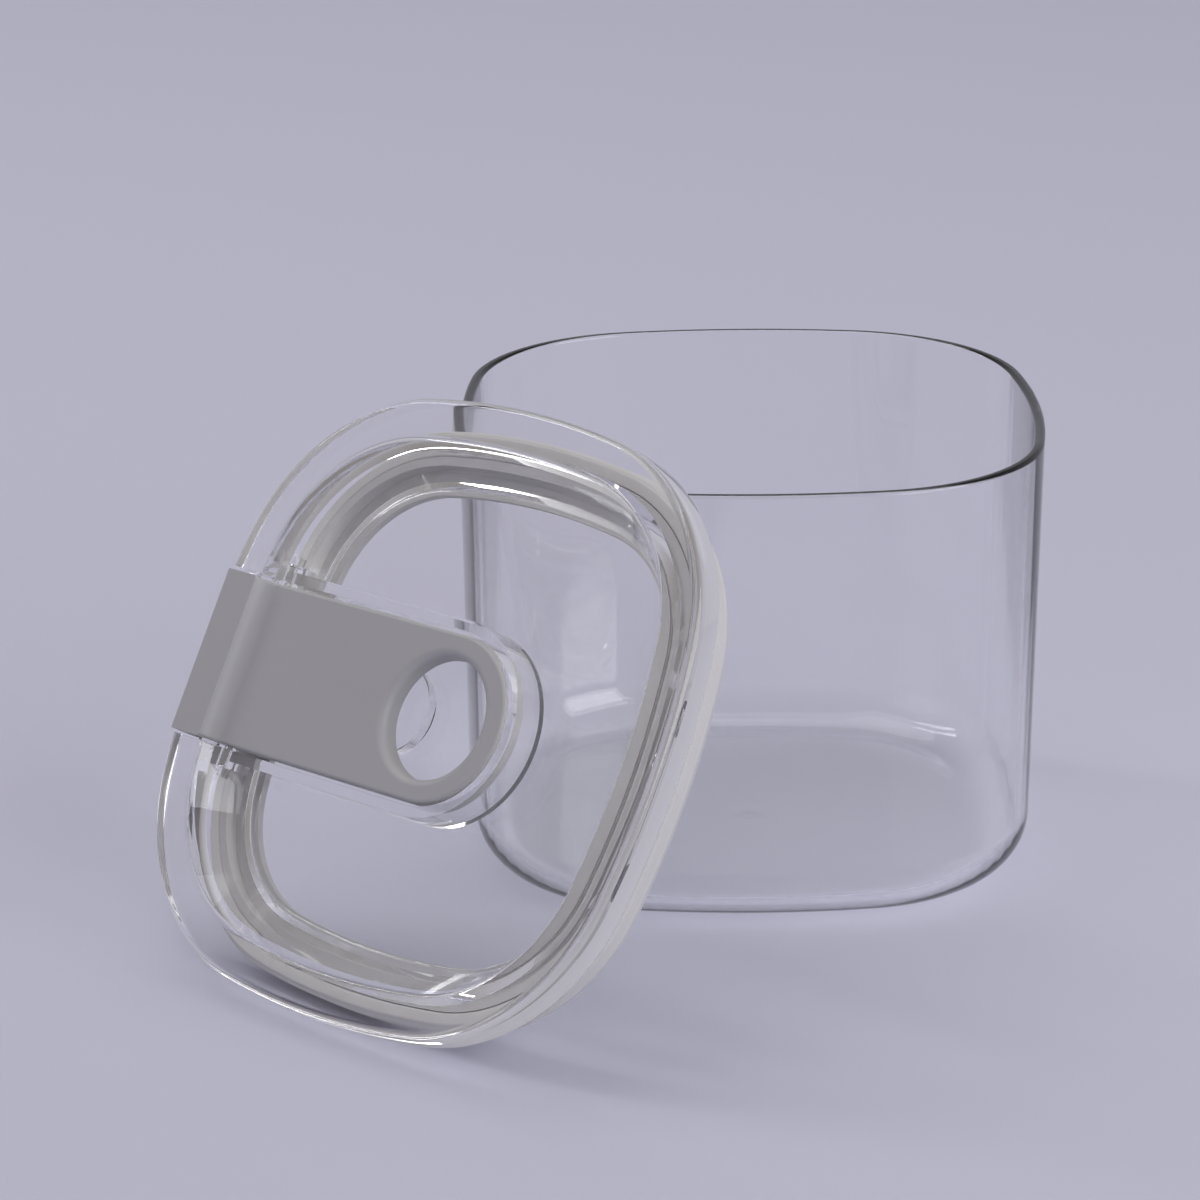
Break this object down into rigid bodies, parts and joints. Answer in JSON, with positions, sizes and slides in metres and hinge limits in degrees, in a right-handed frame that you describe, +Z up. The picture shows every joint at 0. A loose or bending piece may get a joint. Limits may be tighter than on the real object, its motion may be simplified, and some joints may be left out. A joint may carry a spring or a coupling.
{
  "type": "lidded canister",
  "caption": "Clear rounded-square food canister with a clear gasketed lid and a pivoting finger lever, lid off and leaning on the canister.",
  "frame": {"origin": "middle of the canister's flat underside", "axes": "+Z up out of the canister's mouth; +X and -Y are two of its four sides, and the lid leans on the corner between -X and -Y"},
  "size_m": [0.1964, 0.2147, 0.1197],
  "materials": {
    "clear_canister": "clear, polished, injection moulded",
    "clear_lid": "clear, polished, thick moulding",
    "silicone": "off-white matt silicone",
    "frame_plastic": "off-white, matt",
    "lever_plastic": "warm light grey, fine satin"
  },
  "bodies": {
    "canister": {"canister": "clear_canister"},
    "lid": {"lid_cover": "clear_lid", "seal_frame": "frame_plastic", "gasket": "silicone", "pivot_pin_1": "clear_lid", "pivot_pin_2": "clear_lid"},
    "lever": {"lever": "lever_plastic"}
  },
  "joints": [
    {"name": "lid_lift", "type": "slide", "parent": "canister", "child": "lid", "axis": [0, 0, 1], "range_m": [0, 0.15]},
    {"name": "lever_flip", "type": "hinge", "parent": "lid", "child": "lever", "pos_m": [-0.10861, -0.05185, 0.05829], "axis": [-0.345, -0.3917, -0.853], "range_deg": [0, 14]}
  ]
}
